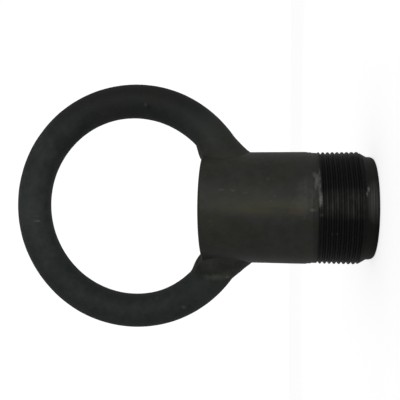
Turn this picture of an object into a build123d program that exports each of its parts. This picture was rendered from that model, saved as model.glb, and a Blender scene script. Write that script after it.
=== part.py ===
from build123d import *
from math import cos, radians, sin, tan
import os

# Welded lifting eye: a ring of round bar whose two ends are coped to the sides of a thick-walled
# pipe stub and fillet welded all round. The stub's free end has an outside thread and a plain pilot.
# The thread axis is +Z, the pilot's end face is at Z = 0, the ring stands on top in the XZ plane,
# and the front is -Y. Lengths are in millimetres.

# Eye ring
eye_diameter = 120.0          # clear inside diameter
bar_diameter = 22.5
eye_height = 157.5            # ring centre above the pilot's end face

# Threaded stub
stub_diameter = 73.0          # 2 1/2 inch nominal pipe
stub_wall = 7.0
stub_length = 108.8
plain_end_break = 0.8         # chamfer on both edges of the plain end

# Pilot and lead-in chamfer
pilot_diameter = 66.0
pilot_length = 4.6
pilot_edge_round = 2.2
bore_edge_break = 0.6
lead_in_angle = 30.0          # between the lead-in cone and the axis

# Outside thread, right-handed, cut shallow into the pipe's own outside
thread_major = 72.4           # crest diameter
thread_pitch = 3.0
thread_depth = 1.2
thread_root_flat = 0.8
thread_flank_angle = 30.0
thread_end = 37.0             # where the full-depth groove stops, above the pilot's end face
turned_end = 39.5             # end of the length skimmed down to the crests
groove_start_angle = 90.0     # about the axis, from +X
groove_overcut = 0.35         # the cutting profile stands this far proud of the crests

# Fillet welds: a round bead laid in a circle on the stub's side, round each foot of the ring
bead_radius = {"right": 7.2, "left": 7.8}
bead_circle_radius = {"right": 8.8, "left": 9.0}
bead_height = {"right": 94.2, "left": 95.0}        # of the circle's centre
bead_depth = 0.5              # of the circle's plane below the stub's outermost line
bead_bore_gap = 0.5           # the bead stops this far outside the bore
run_directions = {"heel": 0, "back": 90, "throat": 180, "front": 270}   # degrees from straight down
run_reach = 60.0              # of the wedge that holds one run

# Worked out from the sizes above
bar_radius = bar_diameter / 2
ring_radius = eye_diameter / 2 + bar_radius
stub_radius = stub_diameter / 2
bore_radius = stub_radius - stub_wall
pilot_radius = pilot_diameter / 2
crest_radius = thread_major / 2
root_radius = crest_radius - thread_depth
lead_in_top = pilot_length + (crest_radius - pilot_radius) / tan(radians(lead_in_angle))

os.makedirs("parts", exist_ok=True)


def save(builder, name):
    """Label a finished piece and write it as its own STEP file."""
    builder.part.label = name
    export_step(builder.part, f"parts/{name}.step")


# --- Stub blank: the turned pipe before threading -------------------------------------------------

with BuildPart() as stub_blank:
    with BuildSketch(Plane.XZ):
        with BuildLine():
            Polyline(
                (bore_radius + bore_edge_break, 0),
                (pilot_radius, 0),
                (pilot_radius, pilot_length),
                (crest_radius, lead_in_top),
                (crest_radius, turned_end - (stub_radius - crest_radius)),
                (stub_radius, turned_end),
                (stub_radius, stub_length - plain_end_break),
                (stub_radius - plain_end_break, stub_length),
                (bore_radius + plain_end_break, stub_length),
                (bore_radius, stub_length - plain_end_break),
                (bore_radius, bore_edge_break),
                close=True,
            )
        make_face()
    revolve(axis=Axis.Z)
    pilot_rim = stub_blank.edges().filter_by(GeomType.CIRCLE).group_by(Axis.Z)[0].sort_by(SortBy.RADIUS)[-1]
    fillet(pilot_rim, radius=pilot_edge_round)


# --- Thread groove: the solid that a right-hand helical cut takes away ----------------------------

groove_start = pilot_length
groove_turn_height = thread_end - groove_start
cut_radius = crest_radius + groove_overcut
cut_depth = thread_depth + groove_overcut
cut_half_mouth = thread_root_flat / 2 + cut_depth * tan(radians(thread_flank_angle))


with BuildPart() as thread_groove:
    with BuildLine() as full_turns:
        Helix(thread_pitch, groove_turn_height, cut_radius, center=(0, 0, groove_start))
    with BuildSketch(Plane(full_turns.line @ 0, x_dir=(1, 0, 0), z_dir=full_turns.line % 0)):
        with BuildLine():
            Polyline(
                (-cut_depth, -thread_root_flat / 2),
                (0, -cut_half_mouth),
                (0, cut_half_mouth),
                (-cut_depth, thread_root_flat / 2),
                close=True,
            )
        make_face()
    sweep(path=full_turns.line, is_frenet=True)


# --- Threaded stub ---------------------------------------------------------------------------------

with BuildPart() as threaded_stub:
    add(stub_blank.part)
    add(thread_groove.part, rotation=(0, 0, groove_start_angle), mode=Mode.SUBTRACT)

save(threaded_stub, "threaded_stub")


# --- Eye ring: round bar bent to a C, both ends coped to the stub's outside ------------------------

cope_clearance = 20.0          # the coping cut runs this far past the plain end
cope_top = stub_length + cope_clearance

with BuildPart() as eye_ring:
    with BuildSketch(Plane.XY.offset(eye_height)):
        with Locations((ring_radius, 0)):
            Circle(bar_radius)
    revolve(axis=Axis((0, 0, eye_height), (0, 1, 0)))
    with BuildSketch():
        Circle(stub_radius)
    extrude(amount=cope_top, mode=Mode.SUBTRACT)

save(eye_ring, "eye_ring")


# --- Fillet welds ----------------------------------------------------------------------------------

def weld_bead(side):
    """The whole bead round a foot on the +X side, cut back to the ring, the stub and its bore."""
    with BuildPart() as bead:
        with Locations(Location((stub_radius - bead_depth, 0, bead_height[side]), (0, 90, 0))):
            Torus(bead_circle_radius[side], bead_radius[side])
        with BuildSketch():
            Circle(stub_radius)
        extrude(amount=stub_length, mode=Mode.SUBTRACT)
        with BuildSketch(Plane.XY.offset(stub_length)):
            Circle(bore_radius + bead_bore_gap)
        extrude(amount=2 * bead_radius[side], mode=Mode.SUBTRACT)
        add(eye_ring.part, mode=Mode.SUBTRACT)
    return bead


def weld_run(side, bead, direction):
    """A quarter of a bead: the run on the heel, back, throat or front of the foot."""
    start, end = radians(direction - 45), radians(direction + 45)
    with BuildPart() as run:
        add(bead.part)
        with BuildSketch(Plane((0, 0, bead_height[side]), x_dir=(0, 0, -1), z_dir=(1, 0, 0))):
            with BuildLine():
                Polyline(
                    (0, 0),
                    (run_reach * cos(start), run_reach * sin(start)),
                    (run_reach * cos(end), run_reach * sin(end)),
                    close=True,
                )
            make_face()
        extrude(amount=run_reach, mode=Mode.INTERSECT)
        if side == "left":
            mirror(about=Plane.YZ, mode=Mode.REPLACE)
    return run


for side in ("right", "left"):
    side_bead = weld_bead(side)
    for run_name, direction in run_directions.items():
        save(weld_run(side, side_bead, direction), f"weld_{side}_{run_name}")
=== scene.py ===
import math

import bmesh
import bpy
from mathutils import Matrix, Vector, noise


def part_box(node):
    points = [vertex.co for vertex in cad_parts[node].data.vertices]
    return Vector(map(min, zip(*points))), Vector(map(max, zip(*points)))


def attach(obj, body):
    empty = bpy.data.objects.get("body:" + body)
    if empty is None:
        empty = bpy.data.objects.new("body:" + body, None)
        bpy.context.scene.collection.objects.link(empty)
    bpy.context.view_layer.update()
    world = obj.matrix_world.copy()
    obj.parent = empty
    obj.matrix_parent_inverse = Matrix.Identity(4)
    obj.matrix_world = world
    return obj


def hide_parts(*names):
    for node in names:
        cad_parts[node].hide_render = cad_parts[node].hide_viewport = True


# A welded lifting eye. The thread axis is +Z, the ring stands on top in the XZ plane and the front is
# -Y. Every length is in metres.

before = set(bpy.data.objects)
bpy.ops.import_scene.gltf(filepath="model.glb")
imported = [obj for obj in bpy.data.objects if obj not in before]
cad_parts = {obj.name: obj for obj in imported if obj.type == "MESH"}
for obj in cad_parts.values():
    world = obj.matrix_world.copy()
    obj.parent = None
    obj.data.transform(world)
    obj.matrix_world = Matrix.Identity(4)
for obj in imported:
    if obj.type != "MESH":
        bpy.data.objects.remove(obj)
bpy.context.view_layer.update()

MM = 0.001
TURN = 2 * math.pi

# --- Sizes read from the frame ---------------------------------------------------------------------

ring_low, ring_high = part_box("eye_ring")
stub_low, stub_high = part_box("threaded_stub")

BAR = (ring_high.y - ring_low.y) / 2               # radius of the ring's round bar
RING = ring_high.x - BAR                           # radius of the bar's centre line
EYE_Z = ring_high.z - ring_high.x                  # height of the ring's centre
LENGTH = stub_high.z                               # of the stub
STUB = round((stub_high.x - stub_low.x) / 2, 4)    # its outside radius

# --- Sizes of the stub's details -------------------------------------------------------------------

WALL = 7.0 * MM
BORE = STUB - WALL
CREST = 36.20 * MM             # thread crests
ROOT = 35.00 * MM              # thread roots
PITCH = 3.0 * MM
PILOT = 33.0 * MM
PILOT_LENGTH = 4.6 * MM
PILOT_ROUND = 3.2 * MM         # the worn rim of the end: this much up the pilot
PILOT_ROUND_IN = 2.0 * MM      # and this much in across its face
NECK_DEPTH = 0.35 * MM         # of the skimmed band between the thread and the pipe's skin
BLACK_TOP = 35.0 * MM          # the oily black of the thread reaches this far up
BLACK_LOW = 8.0 * MM           # and starts here, above the turned steel of the pilot
LEAD_IN_TOP = 10.1 * MM        # where the lead-in cone meets the crests
THREAD_FULL = 34.2 * MM        # the groove has its full depth up to here
THREAD_END = 37.5 * MM         # and has faded out here
TURNED_END = 39.5 * MM         # end of the turned-down length


def mix(a, b, t):
    return a + (b - a) * t


def smoothstep(low, high, x):
    t = min(max((x - low) / (high - low), 0.0), 1.0)
    return t * t * (3 - 2 * t)


def wander(point, size, seed):
    """Smooth noise between about -1 and 1, its bumps about as wide as size."""
    return noise.noise(point / size + Vector((seed * 7.3, seed * 3.1, seed * 5.7)))


# --- Mesh building ---------------------------------------------------------------------------------

SHARP = math.radians(65)      # two faces that meet at more than this are shaded apart


def mesh_object(name, points, faces):
    """A smooth-shaded object; a face's repeated corners are dropped, and sharp folds stay sharp."""
    clean = []
    for face in faces:
        corners = [c for k, c in enumerate(face) if c != face[k - 1]]
        if len(corners) > 2:
            clean.append(corners)
    mesh = bpy.data.meshes.new(name)
    mesh.from_pydata(points, [], clean)
    mesh.validate()
    mesh.polygons.foreach_set("use_smooth", [True] * len(mesh.polygons))
    shape = bmesh.new()
    shape.from_mesh(mesh)
    for edge in shape.edges:
        if edge.is_manifold and edge.calc_face_angle() > SHARP:
            edge.smooth = False
    shape.to_mesh(mesh)
    shape.free()
    mesh.update()
    piece = bpy.data.objects.new(name, mesh)
    bpy.context.scene.collection.objects.link(piece)
    return piece


def tube_faces(rings, around):
    """Quads between consecutive rings of the same number of points."""
    faces = []
    for i in range(rings - 1):
        for j in range(around):
            a = i * around + j
            b = i * around + (j + 1) % around
            faces.append((a, b, b + around, a + around))
    return faces


def cap_faces(start, around, centre, flip):
    """A fan from one ring to its centre point."""
    fan = [(start + j, start + (j + 1) % around, centre) for j in range(around)]
    return [tuple(reversed(face)) for face in fan] if flip else fan


# --- Materials -------------------------------------------------------------------------------------

class Nodes:
    """Short calls for building one procedural metal."""

    def __init__(self, name):
        self.material = bpy.data.materials.new(name)
        self.material.use_nodes = True
        self.tree = self.material.node_tree
        self.shader = self.tree.nodes["Principled BSDF"]
        self.place = self.tree.nodes.new("ShaderNodeTexCoord").outputs["Object"]

    def link(self, source, target):
        self.tree.links.new(source, target)

    def set(self, **values):
        for key, value in values.items():
            self.shader.inputs[key.replace("_", " ")].default_value = value

    def noise(self, scale, detail=4.0, roughness=0.6, stretch=None, distortion=0.0):
        node = self.tree.nodes.new("ShaderNodeTexNoise")
        node.inputs["Scale"].default_value = scale
        node.inputs["Detail"].default_value = detail
        node.inputs["Roughness"].default_value = roughness
        node.inputs["Distortion"].default_value = distortion
        if stretch:
            mapping = self.tree.nodes.new("ShaderNodeMapping")
            mapping.inputs["Scale"].default_value = stretch
            self.link(self.place, mapping.inputs["Vector"])
            self.link(mapping.outputs["Vector"], node.inputs["Vector"])
        else:
            self.link(self.place, node.inputs["Vector"])
        return node.outputs["Fac"]

    def ramp(self, source, *stops):
        """Colour ramp; a stop is (position, grey) or (position, (r, g, b))."""
        node = self.tree.nodes.new("ShaderNodeValToRGB")
        self.link(source, node.inputs["Fac"])
        elements = node.color_ramp.elements
        while len(elements) < len(stops):
            elements.new(0.5)
        for element, (position, colour) in zip(elements, stops):
            element.position = position
            rgb = colour if isinstance(colour, tuple) else (colour,) * 3
            element.color = (*rgb, 1.0)
        return node.outputs["Color"]

    def math(self, operation, a, b):
        node = self.tree.nodes.new("ShaderNodeMath")
        node.operation = operation
        for socket, value in zip(node.inputs, (a, b)):
            if isinstance(value, (int, float)):
                socket.default_value = value
            else:
                self.link(value, socket)
        return node.outputs["Value"]

    def blend(self, factor, a, b, kind="MIX"):
        node = self.tree.nodes.new("ShaderNodeMix")
        node.data_type = "RGBA"
        node.blend_type = kind
        for socket, value in ((node.inputs[0], factor), (node.inputs[6], a), (node.inputs[7], b)):
            if isinstance(value, tuple):
                socket.default_value = (*value, 1.0)
            elif isinstance(value, (int, float)):
                socket.default_value = value
            else:
                self.link(value, socket)
        return node.outputs[2]

    def along(self, axis, low, high):
        """0 to 1 between two places on an axis."""
        apart = self.tree.nodes.new("ShaderNodeSeparateXYZ")
        self.link(self.place, apart.inputs["Vector"])
        node = self.tree.nodes.new("ShaderNodeMapRange")
        node.inputs["From Min"].default_value = low
        node.inputs["From Max"].default_value = high
        self.link(apart.outputs[axis], node.inputs["Value"])
        return node.outputs["Result"]

    def away(self, centre, size):
        """Distance from a place, counted in half sizes: 1 on an egg of these half sizes."""
        mapping = self.tree.nodes.new("ShaderNodeMapping")
        mapping.vector_type = "TEXTURE"
        mapping.inputs["Location"].default_value = [c * MM for c in centre]
        mapping.inputs["Scale"].default_value = [d * MM for d in size]
        self.link(self.place, mapping.inputs["Vector"])
        node = self.tree.nodes.new("ShaderNodeVectorMath")
        node.operation = "LENGTH"
        self.link(mapping.outputs["Vector"], node.inputs[0])
        return node.outputs["Value"]

    def radial(self):
        """Distance from the stub's axis."""
        return self.math("MULTIPLY", self.away((0, 0, 0), (1, 1, 1e7)), MM)

    def patch(self, centre, size, soft=0.6, ragged=None):
        """1 round a place (millimetres), fading to 0 at the patch's edge; ragged is a noise socket."""
        away = self.away(centre, size)
        if ragged is not None:
            away = self.math("ADD", away, self.math("MULTIPLY", self.math("SUBTRACT", ragged, 0.5), 1.5))
        return self.ramp(away, (1.0 - soft, 1.0), (1.0, 0.0))

    def bump(self, height, distance, strength=1.0):
        node = self.tree.nodes.new("ShaderNodeBump")
        node.inputs["Strength"].default_value = strength
        node.inputs["Distance"].default_value = distance
        self.link(height, node.inputs["Height"])
        if self.shader.inputs["Normal"].is_linked:
            before = self.shader.inputs["Normal"].links[0].from_socket
            self.link(before, node.inputs["Normal"])
        self.link(node.outputs["Normal"], self.shader.inputs["Normal"])


DRESSED = (0.0505, 0.0550, 0.0475)       # ground bar and weld metal at the right-hand joint


def left_toe(steel, colour, fine):
    """The toe of the left-hand weld: a painted highlight that runs onto the bar, a painted glint, and a patch
    of painted shadow.
    """
    # Painted shadow: a dark patch by the toe.
    crease_shadow = steel.patch((-45, -9, 109), (4, 7, 4.5), 0.9, fine)
    colour = steel.blend(steel.math("MULTIPLY", crease_shadow, 0.6), colour, (0.017, 0.019, 0.018))
    # Painted highlight: a pale band along the toe that runs onto the bar.
    toe_highlight = steel.patch((-45.0, -9, 98.5), (3.2, 8, 11.0), 0.8, fine)
    colour = steel.blend(toe_highlight, colour, (0.084, 0.092, 0.068))
    # Painted glint in that highlight.
    glint = steel.patch((-45.4, -8, 92.8), (1.5, 4, 2.0), 0.8)
    return steel.blend(glint, colour, (0.130, 0.135, 0.115))


def ring_steel():
    """Blue-grey mill scale on hot-bent bar: mottled, greyer on top, with a painted highlight on the crown."""
    steel = Nodes("ring_mill_scale")
    steel.set(Metallic=0.0, Specular_IOR_Level=0.22)
    fine = steel.noise(420, 3, 0.7)
    broad = steel.noise(70, 4, 0.6)
    hue = steel.noise(38, 3, 0.6)
    blue = steel.ramp(broad, (0.34, (0.0275, 0.0335, 0.0325)), (0.68, (0.0410, 0.0475, 0.0460)))
    green = steel.ramp(broad, (0.34, (0.0275, 0.0340, 0.0305)), (0.68, (0.0415, 0.0480, 0.0425)))
    colour = steel.blend(steel.ramp(hue, (0.42, 0.0), (0.58, 1.0)), blue, green)
    mottle = steel.ramp(steel.noise(190, 3, 0.65), (0.36, 0.86), (0.66, 1.14))
    colour = steel.blend(1.0, colour, mottle, "MULTIPLY")
    # Tone along X, darker towards the top (+X); the brighter band round the crown, near x = 0, is painted
    # light.
    across = steel.along("X", -0.0825, 0.0825)
    shade = steel.ramp(across, (0.0, 0.92), (0.22, 0.99), (0.5, 1.40), (0.8, 1.02), (1.0, 0.60))
    colour = steel.blend(1.0, colour, shade, "MULTIPLY")
    greyer = steel.ramp(steel.along("X", 0.052, 0.074), (0.0, 0.0), (1.0, 0.75))
    colour = steel.blend(greyer, colour, (0.0190, 0.0192, 0.0186))
    # Darker on the inner side of the bar's upper +X quarter: partly scale, partly painted shade.
    scale_and_inner_shade = steel.patch((44, -2, 194), (17, 14, 24), 0.7, broad)
    colour = steel.blend(steel.math("MULTIPLY", scale_and_inner_shade, 0.5), colour, (0.011, 0.0115, 0.0115))
    tan = steel.patch((74, -7, 141), (9, 9, 7), 0.6, broad)
    colour = steel.blend(steel.math("MULTIPLY", tan, 0.6), colour, (0.027, 0.0255, 0.020))
    violet = steel.patch((-46, -8, 210), (9, 9, 9), 0.8)
    colour = steel.blend(steel.math("MULTIPLY", violet, 0.5), colour, (0.027, 0.028, 0.036))
    flecks = steel.ramp(fine, (0.58, 0.0), (0.76, 1.0))
    colour = steel.blend(steel.math("MULTIPLY", flecks, 0.30), colour, (0.065, 0.068, 0.058))
    # Painted highlight: a pale band along the front of the crown.
    crown = steel.patch((-8, -11, 223), (26, 6, 4), 0.9)
    colour = steel.blend(steel.math("MULTIPLY", crown, 0.35), colour, (0.060, 0.066, 0.062))
    for centre, size, grey in (
        ((-9.9, -9.5, 222.5), (0.9, 4, 3.4), 0.125), ((-6.5, -10.0, 223.0), (0.7, 4, 3.2), 0.085),
        ((67.6, -10.9, 146.6), (1.6, 4, 1.3), 0.060), ((66.0, -10.6, 144.4), (2.0, 4, 1.6), 0.009),
        ((-65.7, -10.6, 121.1), (1.6, 4, 2.2), 0.085), ((-65.0, -10.0, 117.2), (1.8, 4, 2.4), 0.018),
        ((-61.5, -10.5, 113.8), (2.4, 4, 1.8), 0.020), ((-60.8, -7.9, 139.9), (1.6, 4, 1.4), 0.060),
    ):
        mark = steel.patch(centre, size, 0.8, fine)
        tint = (grey, grey * 1.02, grey * 0.96)
        colour = steel.blend(steel.math("MULTIPLY", mark, 0.8), colour, tint)
    scale = steel.ramp(broad, (0.34, (0.0415, 0.0460, 0.0430)), (0.68, (0.0510, 0.0550, 0.0505)))
    for x in (52, -56):
        heated = steel.patch((x, -2, 107), (17, 22, 20), 0.9)
        colour = steel.blend(steel.math("MULTIPLY", heated, 0.75), colour, scale)
    olive = steel.patch((44, -2, 100), (16, 22, 17), 0.8)
    colour = steel.blend(olive, colour, DRESSED)
    # Painted highlight and painted shadow at the left-hand weld's toe.
    colour = left_toe(steel, colour, fine)
    steel.link(colour, steel.shader.inputs["Base Color"])
    steel.link(steel.ramp(broad, (0.35, 0.50), (0.7, 0.66)), steel.shader.inputs["Roughness"])
    steel.bump(steel.noise(700, 4, 0.65), 0.00012, 0.6)
    steel.bump(steel.noise(150, 4, 0.6), 0.0004, 0.4)
    return steel.material


def pale_scrapes(steel, colour):
    """Bare metal knocked pale along the thread's last turn, and small nicks on the thread."""
    crumbs = steel.noise(1000, 3, 0.7)
    breaks = steel.ramp(steel.noise(300, 3, 0.6, stretch=(1.0, 1.0, 0.4)), (0.36, 0.25), (0.52, 1.0))
    lip = steel.math("MULTIPLY", steel.patch((14.5, -31.5, 35.3), (16, 12, 1.1), 0.6), breaks)
    colour = steel.blend(steel.math("MULTIPLY", lip, 0.95), colour, (0.150, 0.150, 0.138))
    for centre, size, shade in (
        ((6.6, -34.9, 34.9), (5.2, 5, 1.4), 0.30), ((13.0, -33.2, 35.6), (4.6, 5, 0.9), 0.16),
        ((19.5, -29.8, 36.0), (4.0, 5, 0.9), 0.14), ((21.3, -28.4, 38.2), (2.4, 5, 1.7), 0.13),
        ((15.0, -32.2, 37.9), (4.0, 5, 1.3), 0.13), ((18.4, -30.6, 36.8), (5.0, 5, 1.7), 0.17),
        ((9.5, -34.2, 38.9), (3.4, 5, 0.9), 0.085),
        ((0.5, -35.6, 39.6), (1.2, 4, 2.0), 0.14), ((-2.4, -35.5, 34.4), (1.2, 4, 1.4), 0.07),
        ((12.8, -32.6, 7.0), (2.2, 4, 0.9), 0.30), ((10.0, -32.8, 7.9), (2.2, 4, 0.8), 0.20),
        ((-13.9, -32.7, 28.0), (1.0, 3, 0.9), 0.04), ((-13.9, -32.7, 25.1), (1.0, 3, 0.9), 0.045),
    ):
        spot = steel.patch(centre, size, 0.8, crumbs)
        colour = steel.blend(steel.math("MULTIPLY", spot, 0.9), colour, (shade, shade, shade * 0.93))
    return colour


def stub_steel():
    """Olive-grey oiled pipe: a yellow tint and a painted highlight along the front, scratches, pale scrapes
    by the thread.
    """
    steel = Nodes("stub_oiled_pipe")
    steel.set(Metallic=0.0, Specular_IOR_Level=0.30)
    fine = steel.noise(420, 3, 0.7)
    broad = steel.noise(60, 4, 0.6)
    hue = steel.noise(45, 3, 0.6, stretch=(1.0, 1.0, 0.6))
    streaks = steel.noise(90, 4, 0.65, stretch=(1.0, 1.0, 0.3))
    crumbs = steel.noise(1000, 3, 0.7)
    olive = steel.ramp(broad, (0.34, (0.0345, 0.0362, 0.0265)), (0.68, (0.0450, 0.0466, 0.0345)))
    grey = steel.ramp(broad, (0.34, (0.0360, 0.0360, 0.0335)), (0.68, (0.0455, 0.0455, 0.0430)))
    colour = steel.blend(steel.ramp(hue, (0.42, 0.0), (0.58, 1.0)), olive, grey)
    mottle = steel.ramp(steel.noise(190, 3, 0.65), (0.36, 0.88), (0.66, 1.12))
    colour = steel.blend(1.0, colour, mottle, "MULTIPLY")
    # Painted shade: darker towards the -X side.
    minus_x_shade = steel.ramp(steel.along("X", -0.0365, -0.004), (0.0, 0.84), (1.0, 1.0))
    colour = steel.blend(1.0, colour, minus_x_shade, "MULTIPLY")
    # Yellowish oil tint along the front, and a painted highlight down the same line.
    oil_tint_and_highlight = steel.patch((2.5, -36, 68), (7.5, 9, 40), 0.7)
    oil_tint_and_highlight = steel.math("MULTIPLY", oil_tint_and_highlight, steel.ramp(streaks, (0.36, 0.15), (0.60, 1.0)))
    colour = steel.blend(oil_tint_and_highlight, colour, (0.0620, 0.0635, 0.0350))
    # Painted highlight: its brightest part, near the thread.
    highlight_core = steel.math("MULTIPLY", steel.patch((3.2, -36, 45), (6.5, 7, 10), 0.7, fine), 0.8)
    colour = steel.blend(highlight_core, colour, (0.0860, 0.0890, 0.0540))
    rust = steel.patch((-0.6, -36, 73), (1.8, 5, 11), 0.6)
    rust = steel.math("MAXIMUM", rust, steel.patch((-0.8, -36, 48.5), (2.4, 5, 6), 0.6, streaks))
    colour = steel.blend(steel.math("MULTIPLY", rust, 0.75), colour, (0.076, 0.057, 0.031))
    yellow = steel.patch((-0.6, -36, 71.8), (1.6, 4, 2.6), 0.8)
    yellow = steel.math("MAXIMUM", yellow, steel.patch((-6.6, -35.8, 100.6), (1.8, 4, 2.8), 0.8))
    colour = steel.blend(steel.math("MULTIPLY", yellow, 0.8), colour, (0.062, 0.058, 0.022))
    red = steel.patch((34.5, -12, 54.5), (3.5, 8, 11), 0.7, broad)
    colour = steel.blend(steel.math("MULTIPLY", red, 0.5), colour, (0.046, 0.033, 0.029))
    haze = steel.patch((9, -34, 43), (16, 9, 7), 0.9, fine)
    colour = steel.blend(steel.math("MULTIPLY", haze, 0.75), colour, (0.082, 0.083, 0.074))
    for centre, size in (((12.3, -34.3, 94.5), (0.9, 4, 2.2)), ((10.6, -35, 79.7), (0.6, 4, 2.2)),
                         ((12.0, -34.6, 87.0), (1.2, 4, 2.4)), ((18.8, -31.3, 66.1), (1.0, 4, 1.2)),
                         ((5.7, -36.1, 64.1), (0.7, 4, 1.4)), ((8.5, -35.5, 62.0), (0.6, 4, 1.4))):
        scratch = steel.patch(centre, size, 0.8, crumbs)
        colour = steel.blend(steel.math("MULTIPLY", scratch, 0.8), colour, (0.078, 0.079, 0.072))
    oil = steel.ramp(steel.along("Z", BLACK_TOP, BLACK_TOP + 4.5 * MM), (0.0, 0.95), (1.0, 0.0))
    side = steel.ramp(steel.along("X", 0.016, -0.012), (0.0, 0.30), (1.0, 1.0))
    colour = steel.blend(steel.math("MULTIPLY", oil, side), colour, (0.009, 0.009, 0.008))
    colour = pale_scrapes(steel, colour)
    steel.link(colour, steel.shader.inputs["Base Color"])
    steel.link(steel.ramp(broad, (0.35, 0.38), (0.7, 0.48)), steel.shader.inputs["Roughness"])
    steel.bump(steel.noise(600, 4, 0.65), 0.00009, 0.5)
    return steel.material


def thread_steel():
    """Near-black oily thread, its crests worn a little paler in places, with a painted highlight across the
    front.
    """
    steel = Nodes("thread_oiled")
    steel.set(Metallic=0.0, Specular_IOR_Level=0.18)
    fine = steel.noise(420, 3, 0.7)
    height = steel.math("MULTIPLY", steel.math("SUBTRACT", steel.radial(), ROOT), 1 / (CREST - ROOT))
    worn = steel.ramp(steel.noise(190, 4, 0.65), (0.40, 0.0), (0.62, 1.0))
    crest = steel.math("MULTIPLY", steel.ramp(height, (0.70, 0.0), (0.97, 1.0)), worn)
    base = steel.ramp(fine, (0.35, (0.0078, 0.0078, 0.0077)), (0.7, (0.0126, 0.0126, 0.0124)))
    colour = steel.blend(crest, base, (0.0095, 0.0095, 0.0091))
    # Painted highlight across the thread's front, strongest on the crests.
    front_highlight = steel.patch((4.5, -36, 20), (11, 9, 26), 0.75)
    lines = steel.ramp(height, (0.10, 0.60), (0.90, 1.0))
    patchy = steel.ramp(steel.noise(120, 4, 0.65), (0.38, 0.35), (0.60, 1.0))
    front_highlight = steel.math("MULTIPLY", steel.math("MULTIPLY", front_highlight, lines), patchy)
    colour = steel.blend(front_highlight, colour, (0.0660, 0.0660, 0.0580))
    specks = steel.ramp(steel.noise(640, 2, 0.6), (0.66, 0.0), (0.74, 1.0))
    colour = steel.blend(steel.math("MULTIPLY", specks, 0.3), colour, (0.040, 0.040, 0.036))
    colour = pale_scrapes(steel, colour)
    steel.link(colour, steel.shader.inputs["Base Color"])
    oily = steel.noise(260, 4, 0.6)
    steel.link(steel.ramp(oily, (0.35, 0.34), (0.7, 0.50)), steel.shader.inputs["Roughness"])
    steel.bump(steel.noise(900, 3, 0.6), 0.00006, 0.5)
    return steel.material


def machined_steel():
    """Dark turned steel with fine turning lines, painted lighter on the +X side, and a pale front band of
    bare metal and painted highlight.
    """
    steel = Nodes("turned_steel")
    steel.set(Metallic=0.0, Specular_IOR_Level=0.26)
    lines = steel.noise(160, 3, 0.6, stretch=(0.12, 0.12, 6.0))
    colour = steel.ramp(lines, (0.35, (0.0060, 0.0068, 0.0040)), (0.7, (0.0120, 0.0130, 0.0085)))
    # Painted light: lighter on the +X side, darker towards -X.
    upper = steel.ramp(steel.along("X", -0.012, 0.012), (0.0, 0.0), (1.0, 1.0))
    lighter = steel.ramp(lines, (0.35, (0.016, 0.0164, 0.0140)), (0.7, (0.024, 0.0245, 0.0215)))
    colour = steel.blend(upper, colour, lighter)
    # Pale band at the front: partly bare turned metal, partly painted highlight.
    pale = steel.patch((6, -32, 1.5), (15, 12, 9.0), 0.8)
    bare = steel.ramp(lines, (0.38, (0.034, 0.034, 0.032)), (0.62, (0.150, 0.150, 0.142)))
    colour = steel.blend(steel.math("MULTIPLY", pale, 0.95), colour, bare)
    colour = pale_scrapes(steel, colour)
    steel.link(colour, steel.shader.inputs["Base Color"])
    steel.link(steel.ramp(lines, (0.35, 0.36), (0.7, 0.5)), steel.shader.inputs["Roughness"])
    steel.bump(steel.noise(300, 2, 0.5, stretch=(0.15, 0.15, 12.0)), 0.00006, 0.6)
    return steel.material


def weld_metal():
    """Weld metal: dressed into ring and pipe on the right, rougher and greyer on the left."""
    steel = Nodes("weld_bead_metal")
    steel.set(Metallic=0.0, Specular_IOR_Level=0.14)
    fine = steel.noise(420, 3, 0.7)
    broad = steel.noise(110, 4, 0.6)
    dressed = steel.ramp(steel.along("X", 0.037, 0.048), (0.0, (0.0510, 0.0540, 0.0450)), (1.0, DRESSED))
    bead = steel.ramp(broad, (0.36, (0.0375, 0.0375, 0.0345)), (0.68, (0.0520, 0.0515, 0.0470)))
    side = steel.ramp(steel.along("X", -0.001, 0.001), (0.0, 0.0), (1.0, 1.0))
    colour = steel.blend(side, bead, dressed)
    mottle = steel.ramp(broad, (0.35, 0.90), (0.68, 1.12))
    colour = steel.blend(1.0, colour, mottle, "MULTIPLY")
    # Painted highlight and painted shadow at the left-hand toe.
    colour = left_toe(steel, colour, fine)
    # Painted shadow in the throat of each joint.
    for x, strength in ((-38, 0.6), (38, 0.45)):
        throat = steel.patch((x, -4, 111), (9, 11, 4.5), 0.8)
        colour = steel.blend(steel.math("MULTIPLY", throat, strength), colour, (0.014, 0.0145, 0.013))
    steel.link(colour, steel.shader.inputs["Base Color"])
    steel.link(steel.ramp(fine, (0.35, 0.44), (0.7, 0.60)), steel.shader.inputs["Roughness"])
    steel.bump(steel.noise(800, 4, 0.6), 0.00012, 0.6)
    return steel.material


# --- Eye ring --------------------------------------------------------------------------------------

RING_SECTIONS = 420
RING_AROUND = 96
FOOT_BURY = 1.2 * MM          # the coped ends reach this far into the pipe wall
RIGHT_FULL = 0.5 * MM         # how full the bar is near its right end, all round
LEFT_FULL = 1.7 * MM          # and near its left end, on the side of the eye


def ring_point(turn, theta, lift=0.0):
    """On the bar: turn 0 faces away from the eye, a quarter turn is the back. Theta is from straight down."""
    outward = Vector((math.sin(theta), 0, -math.cos(theta)))
    normal = outward * math.cos(turn) + Vector((0, math.sin(turn), 0))
    return Vector((0, 0, EYE_Z)) + outward * RING + normal * (BAR + lift)


def foot_theta(turn, side_radius):
    """Where the bar's line at this turn meets a cylinder about the stub's axis."""
    reach = RING + BAR * math.cos(turn)
    depth = BAR * math.sin(turn)
    return math.asin(math.sqrt(side_radius ** 2 - depth ** 2) / reach)


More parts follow.
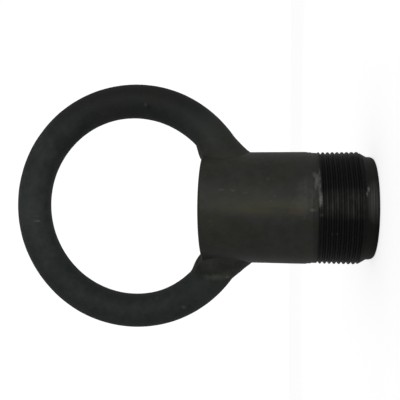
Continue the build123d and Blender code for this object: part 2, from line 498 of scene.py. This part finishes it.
def bar_lift(point, turn, theta):
    """Uneven skin of hot-bent bar: long flats and scale, and the bar a little full near its two ends."""
    lift = 0.12 * MM * wander(point, 28 * MM, 1) + 0.04 * MM * wander(point, 5 * MM, 2)
    outer = (1 + math.cos(turn)) / 2
    right_end = smoothstep(110, 45, math.degrees(theta))
    left_end = smoothstep(282, 322, math.degrees(theta) % 360)
    return lift + right_end * RIGHT_FULL + left_end * mix(LEFT_FULL, 0.0, outer)


def make_ring():
    points = []
    for i in range(RING_SECTIONS + 1):
        share = i / RING_SECTIONS
        for j in range(RING_AROUND):
            turn = TURN * j / RING_AROUND
            foot = foot_theta(turn, STUB - FOOT_BURY)
            theta = foot + (TURN - 2 * foot) * share
            point = ring_point(turn, theta)
            points.append(ring_point(turn, theta, bar_lift(point, turn, theta)))
    centre = len(points)
    for side in (1, -1):
        foot = foot_theta(math.pi / 2, STUB - FOOT_BURY) * side
        points.append(Vector((RING * math.sin(foot), 0, EYE_Z - RING * math.cos(foot))))
    last = RING_SECTIONS * RING_AROUND
    faces = tube_faces(RING_SECTIONS + 1, RING_AROUND)
    faces += cap_faces(0, RING_AROUND, centre, True)
    faces += cap_faces(last, RING_AROUND, centre + 1, False)
    return mesh_object("eye_ring_bar", points, faces)


# --- Threaded stub ---------------------------------------------------------------------------------

STUB_COLUMNS = 480
THREAD_LOW = PILOT_LENGTH
CREST_FLAT = 0.22             # shares of a pitch
ROOT_FLAT = 0.20
ROWS_PER_PITCH = 16


def thread_depth(phase):
    """Groove depth as a share of the full depth; phase 0 is the middle of a crest."""
    away = abs((phase + 0.5) % 1.0 - 0.5)
    share = (away - CREST_FLAT / 2) / (0.5 - CREST_FLAT / 2 - ROOT_FLAT / 2)
    return min(max(share, 0.0), 1.0)


def envelope(z):
    """Turned outside radius before threading."""
    if z <= PILOT_LENGTH:
        return PILOT
    if z <= LEAD_IN_TOP:
        return mix(PILOT, CREST, (z - PILOT_LENGTH) / (LEAD_IN_TOP - PILOT_LENGTH))
    neck = smoothstep(THREAD_FULL, THREAD_FULL + 2 * MM, z) * NECK_DEPTH
    return mix(CREST - neck, STUB, smoothstep(TURNED_END - 1.0 * MM, TURNED_END, z))


def thread_radius(z, phase):
    """Outside radius inside the threaded length."""
    fade = 1 - smoothstep(THREAD_FULL, THREAD_END, z)
    cut = CREST - (CREST - ROOT) * thread_depth(phase) * fade
    return min(envelope(z), cut)


def stub_lift(point):
    """Slightly uneven pipe skin above the thread, and a little wear on the thread."""
    plain = smoothstep(TURNED_END - 1 * MM, TURNED_END + 3 * MM, point.z)
    lift = plain * (0.10 * MM * wander(point, 22 * MM, 3) + 0.03 * MM * wander(point, 4 * MM, 4))
    return lift + (1 - plain) * 0.02 * MM * wander(point, 3 * MM, 5)


def stub_skin(radius, angle, z):
    """A point of the outside."""
    outward = Vector((math.cos(angle), math.sin(angle), 0))
    point = outward * radius + Vector((0, 0, z))
    return point + outward * stub_lift(point)


def make_stub():
    rows_between = ROWS_PER_PITCH
    step = PITCH / rows_between
    span = TURNED_END + 1.5 * MM - THREAD_LOW
    helix_rows = int(math.ceil(span / step)) + rows_between + 1
    plain_rows = 60
    top = THREAD_LOW + span

    lower = [(BORE + 0.6 * MM, 0.0)]
    lower += [(mix(BORE + 0.6 * MM, PILOT - PILOT_ROUND_IN, t / 4), 0.0) for t in range(1, 5)]
    for k in range(1, 9):
        a = math.pi / 2 * k / 8
        lower.append((PILOT - PILOT_ROUND_IN * (1 - math.sin(a)), PILOT_ROUND * (1 - math.cos(a))))
    lower += [(PILOT, mix(PILOT_ROUND, PILOT_LENGTH, t / 6)) for t in range(1, 6)]

    upper = []
    rim = 0.8 * MM
    for k in range(1, plain_rows + 1):
        upper.append((STUB, mix(top, LENGTH - rim, k / plain_rows)))
    upper += [(STUB - rim, LENGTH)]
    upper += [(mix(STUB - rim, BORE + rim, t / 6), LENGTH) for t in range(1, 7)]
    upper += [(BORE, LENGTH - rim)]
    upper += [(BORE, mix(LENGTH - rim, 0.6 * MM, t / 40)) for t in range(1, 41)]

    points = []
    columns = []
    for j in range(STUB_COLUMNS):
        angle = TURN * j / STUB_COLUMNS
        column = []
        for radius, z in lower:
            column.append(len(points))
            points.append(Vector((radius * math.cos(angle), radius * math.sin(angle), z)))
        last_z = None
        for k in range(helix_rows):
            phase = k / rows_between
            z = THREAD_LOW + (k - rows_between) * step + PITCH * angle / TURN
            z = min(max(z, THREAD_LOW), top)
            if last_z is not None and abs(z - last_z) < 1e-9:
                column.append(column[-1])
                continue
            last_z = z
            column.append(len(points))
            points.append(stub_skin(thread_radius(z, phase), angle, z))
        for radius, z in upper:
            column.append(len(points))
            if radius == STUB:
                points.append(stub_skin(radius, angle, z))
            else:
                points.append(Vector((radius * math.cos(angle), radius * math.sin(angle), z)))
        columns.append(column)

    faces = []
    count = len(columns[0])
    first = len(lower)
    for j in range(STUB_COLUMNS):
        here = columns[j]
        there = columns[(j + 1) % STUB_COLUMNS]
        if j == STUB_COLUMNS - 1:
            helix = there[first + rows_between:first + helix_rows]
            helix += [there[first + helix_rows - 1]] * rows_between
            there = there[:first] + helix + there[first + helix_rows:]
        for k in range(count):
            n = (k + 1) % count
            faces.append((here[k], there[k], there[n], here[n]))
    return mesh_object("threaded_stub_pipe", points, faces)


# --- Welds -----------------------------------------------------------------------------------------

def stub_surface(u, v):
    """The stub's outside unrolled: u round it from +X, v up it. Past the plain end it turns inward."""
    angle = u / STUB
    radius = STUB - max(v - LENGTH, 0.0)
    return Vector((radius * math.cos(angle), radius * math.sin(angle), min(v, LENGTH)))


def around_foot(turn, heel, side, throat, power=2):
    """A value that changes smoothly from the heel over the sides to the throat."""
    c = math.cos(turn)
    return mix(side, heel if c > 0 else throat, abs(c) ** power)


# Heel, sides and throat of each joint. The toes are in millimetres from the corner. Pull draws the face
# in towards the corner along both surfaces; rise lifts it, first on the bar's side, then on the stub's.
WELD_SIZES = {
    "right": {
        "stub": (5.6, 8.5, 5.0), "bar": (15.5, 10.5, 5.5), "pull": (0.36, 0.50, 0.05),
        "bar_rise": (0.03, 0.02, -0.06), "stub_rise": (0.02, 0.02, 0.30),
    },
    "left": {
        "stub": (7.2, 7.8, 5.5), "bar": (11.5, 7.8, 9.0), "pull": (0.20, 0.25, 0.05),
        "bar_rise": (0.06, 0.12, -0.10), "stub_rise": (0.03, 0.05, 0.30),
    },
}
WELD_FINISH = {                # ripple height, unevenness and how far a run's ends sink, in millimetres
    "right": (0.03, 0.12, 0.0),
    "left": (0.05, 0.25, 0.35),
}
RUNS = {"heel": 0.0, "back": 0.25, "throat": 0.5, "front": 0.75}
RUN_COLUMNS = 56
RUN_ROWS = 22
TOE_BURY = 0.06 * MM          # the toes dip this far into the bar and the pipe
UNDER_TOE = 1.6 * MM          # depth of a bead's hidden underside, near its toes
UNDER_ROOT = 2.5 * MM         # and under the corner
FOOT_WIDTH = 11.4             # half sizes of the foot's outline on the pipe, in millimetres
FOOT_HEIGHT = 13.2
TOE_NOISE_CIRCLE = 9 * MM     # radius of the circle in the noise that the toes' wander is read from
RIPPLES = 40                  # right round a foot


def weld_column(side, turn, share):
    """The corner under a bead, and points from the bar's toe to the stub's toe and back underneath."""
    sizes = {key: around_foot(turn, *values) for key, values in WELD_SIZES[side].items()}
    sizes["stub_rise"] = around_foot(turn, *WELD_SIZES[side]["stub_rise"], power=6)
    ripple_height, unevenness, sink = WELD_FINISH[side]
    mirrored = side == "left"
    seed = 51 if mirrored else 11
    ragged = Vector((math.cos(turn), math.sin(turn), 0)) * TOE_NOISE_CIRCLE
    root = ring_point(turn, foot_theta(turn, STUB))
    u = STUB * math.asin(BAR * math.sin(turn) / STUB)
    away = Vector((math.sin(turn) / FOOT_WIDTH, -math.cos(turn) / FOOT_HEIGHT)).normalized()
    leg = sizes["stub"] * MM + 0.4 * MM * wander(ragged, 3 * MM, seed)
    toe_stub = stub_surface(u + away.x * leg, root.z + away.y * leg)
    on_stub = Vector((-toe_stub.x if mirrored else toe_stub.x, toe_stub.y, toe_stub.z))
    toe_stub += Vector((toe_stub.x, toe_stub.y, 0)).normalized() * (stub_lift(on_stub) - TOE_BURY)
    out = sizes["bar"] * MM + 0.5 * MM * wander(ragged, 3 * MM, seed + 1)
    reach = RING + BAR * math.cos(turn)
    theta = math.asin(min((STUB + out) / reach, 0.999))
    on_bar = TURN - theta if mirrored else theta
    toe_bar = ring_point(turn, theta, bar_lift(ring_point(turn, on_bar), turn, on_bar) - TOE_BURY)
    middle = (toe_stub + toe_bar) / 2
    outward = (middle - root).normalized()
    span = (toe_stub - toe_bar).length
    near_bar = mix(toe_bar, root, sizes["pull"]) + outward * span * sizes["bar_rise"]
    near_stub = mix(toe_stub, root, sizes["pull"]) + outward * span * sizes["stub_rise"]
    fall = 1 - smoothstep(0.0, 0.06, min(share, 1 - share))
    column = []
    for k in range(RUN_ROWS + 1):
        s = k / RUN_ROWS
        r = 1 - s
        point = toe_bar * r ** 3 + near_bar * 3 * r * r * s
        point += near_stub * 3 * r * s * s + toe_stub * s ** 3
        window = math.sin(math.pi * s)
        ripple = math.sin(RIPPLES * turn - 5.6 * (2 * s - 1) ** 2)
        lift = ripple_height * MM * ripple * window
        lift += unevenness * MM * wander(point, 4 * MM, 9) * window
        lift -= fall * sink * MM * window
        column.append(point + outward * lift)
    column.append(mix(toe_stub, root, 0.3) - outward * UNDER_TOE)
    column.append(root - outward * UNDER_ROOT)
    column.append(mix(toe_bar, root, 0.3) - outward * UNDER_TOE)
    return root, column


def make_weld_run(side, run):
    around = RUN_ROWS + 4
    points = []
    corners = []
    for i in range(RUN_COLUMNS + 1):
        share = i / RUN_COLUMNS
        turn = TURN * (RUNS[run] + (share - 0.5) / len(RUNS))
        corner, column = weld_column(side, turn, share)
        corners.append(corner)
        points += column
    faces = tube_faces(RUN_COLUMNS + 1, around)
    for end, flip in ((0, True), (RUN_COLUMNS, False)):
        faces += cap_faces(end * around, around, len(points), flip)
        points.append(corners[end])
    if side == "left":
        points = [Vector((-p.x, p.y, p.z)) for p in points]
        faces = [tuple(reversed(face)) for face in faces]
    return mesh_object(f"weld_{side}_{run}_bead", points, faces)


# --- Camera ----------------------------------------------------------------------------------------

CAMERA_PLACE = Vector((18.95, -379.81, 59.22)) * MM
CAMERA_RIGHT = Vector((0.00045, 0.13760, -0.99049))
CAMERA_UP = Vector((0.99931, 0.03673, 0.00556))
LENS = 51.41                  # on a 36 mm sensor, in millimetres


def add_camera():
    data = bpy.data.cameras.new("camera")
    data.lens = LENS
    data.sensor_width = 36.0
    data.clip_start = 0.01
    camera = bpy.data.objects.new("camera", data)
    bpy.context.scene.collection.objects.link(camera)
    right = CAMERA_RIGHT.normalized()
    up = (CAMERA_UP - right * CAMERA_UP.dot(right)).normalized()
    back = right.cross(up)
    axes = Matrix((right, up, back)).transposed().to_4x4()
    camera.matrix_world = Matrix.Translation(CAMERA_PLACE) @ axes
    bpy.context.scene.camera = camera


# --- Stage and light -------------------------------------------------------------------------------

def area_light(name, place, target, size, power):
    data = bpy.data.lights.new(name, "AREA")
    data.shape = "DISK"
    data.size = size
    data.energy = power
    light = bpy.data.objects.new(name, data)
    bpy.context.scene.collection.objects.link(light)
    light.location = place
    light.rotation_euler = (Vector(target) - Vector(place)).to_track_quat("-Z", "Y").to_euler()
    return light


def add_world():
    world = bpy.data.worlds.new("studio")
    world.use_nodes = True
    tree = world.node_tree
    background = tree.nodes["Background"]
    background.inputs["Color"].default_value = (1, 1, 1, 1)
    path = tree.nodes.new("ShaderNodeLightPath")
    level = tree.nodes.new("ShaderNodeMapRange")
    level.inputs["To Min"].default_value = 0.28
    level.inputs["To Max"].default_value = 1.05
    tree.links.new(path.outputs["Is Camera Ray"], level.inputs["Value"])
    tree.links.new(level.outputs["Result"], background.inputs["Strength"])
    bpy.context.scene.world = world


def add_floor():
    size = 6.0
    steps = 12
    points = []
    for i in range(steps + 1):
        for j in range(steps + 1):
            points.append(Vector((size * (i / steps - 0.5), size * (j / steps - 0.5), 0)))
    faces = []
    for i in range(steps):
        for j in range(steps):
            a = i * (steps + 1) + j
            faces.append((a, a + steps + 1, a + steps + 2, a + 1))
    floor = mesh_object("floor", points, faces)
    material = bpy.data.materials.new("floor_white")
    material.use_nodes = True
    shader = material.node_tree.nodes["Principled BSDF"]
    shader.inputs["Base Color"].default_value = (0.9, 0.9, 0.9, 1)
    shader.inputs["Roughness"].default_value = 0.9
    shader.inputs["Emission Color"].default_value = (1, 1, 1, 1)
    path = material.node_tree.nodes.new("ShaderNodeLightPath")
    level = material.node_tree.nodes.new("ShaderNodeMath")
    level.operation = "MULTIPLY"
    level.inputs[1].default_value = 0.72
    material.node_tree.links.new(path.outputs["Is Camera Ray"], level.inputs[0])
    material.node_tree.links.new(level.outputs["Value"], shader.inputs["Emission Strength"])
    floor.data.materials.append(material)


# --- Assembly --------------------------------------------------------------------------------------

add_camera()
add_world()
add_floor()
area_light("key", (0.30, -0.85, 0.12), (0, 0, 0.12), 1.0, 2.2)
back_fill = area_light("back_fill", (0.1, 0.9, 0.6), (0, 0, 0.12), 1.0, 0.5)
back_fill.visible_glossy = False

ring = make_ring()
ring.data.materials.append(ring_steel())
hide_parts("eye_ring")
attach(ring, "root")

stub = make_stub()
for material in (stub_steel(), thread_steel(), machined_steel()):
    stub.data.materials.append(material)
for face in stub.data.polygons:
    centre = face.center
    radius = math.hypot(centre.x, centre.y)
    if radius < BORE + 0.3 * MM or centre.z > LENGTH - 0.4 * MM:
        face.material_index = 0
    elif centre.z < BLACK_LOW:
        face.material_index = 2
    elif centre.z < BLACK_TOP:
        face.material_index = 1
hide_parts("threaded_stub")
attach(stub, "root")

bead_metal = weld_metal()
for side in ("right", "left"):
    for run in RUNS:
        bead = make_weld_run(side, run)
        bead.data.materials.append(bead_metal)
        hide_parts(f"weld_{side}_{run}")
        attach(bead, "root")

bpy.context.scene.view_settings.view_transform = "Standard"
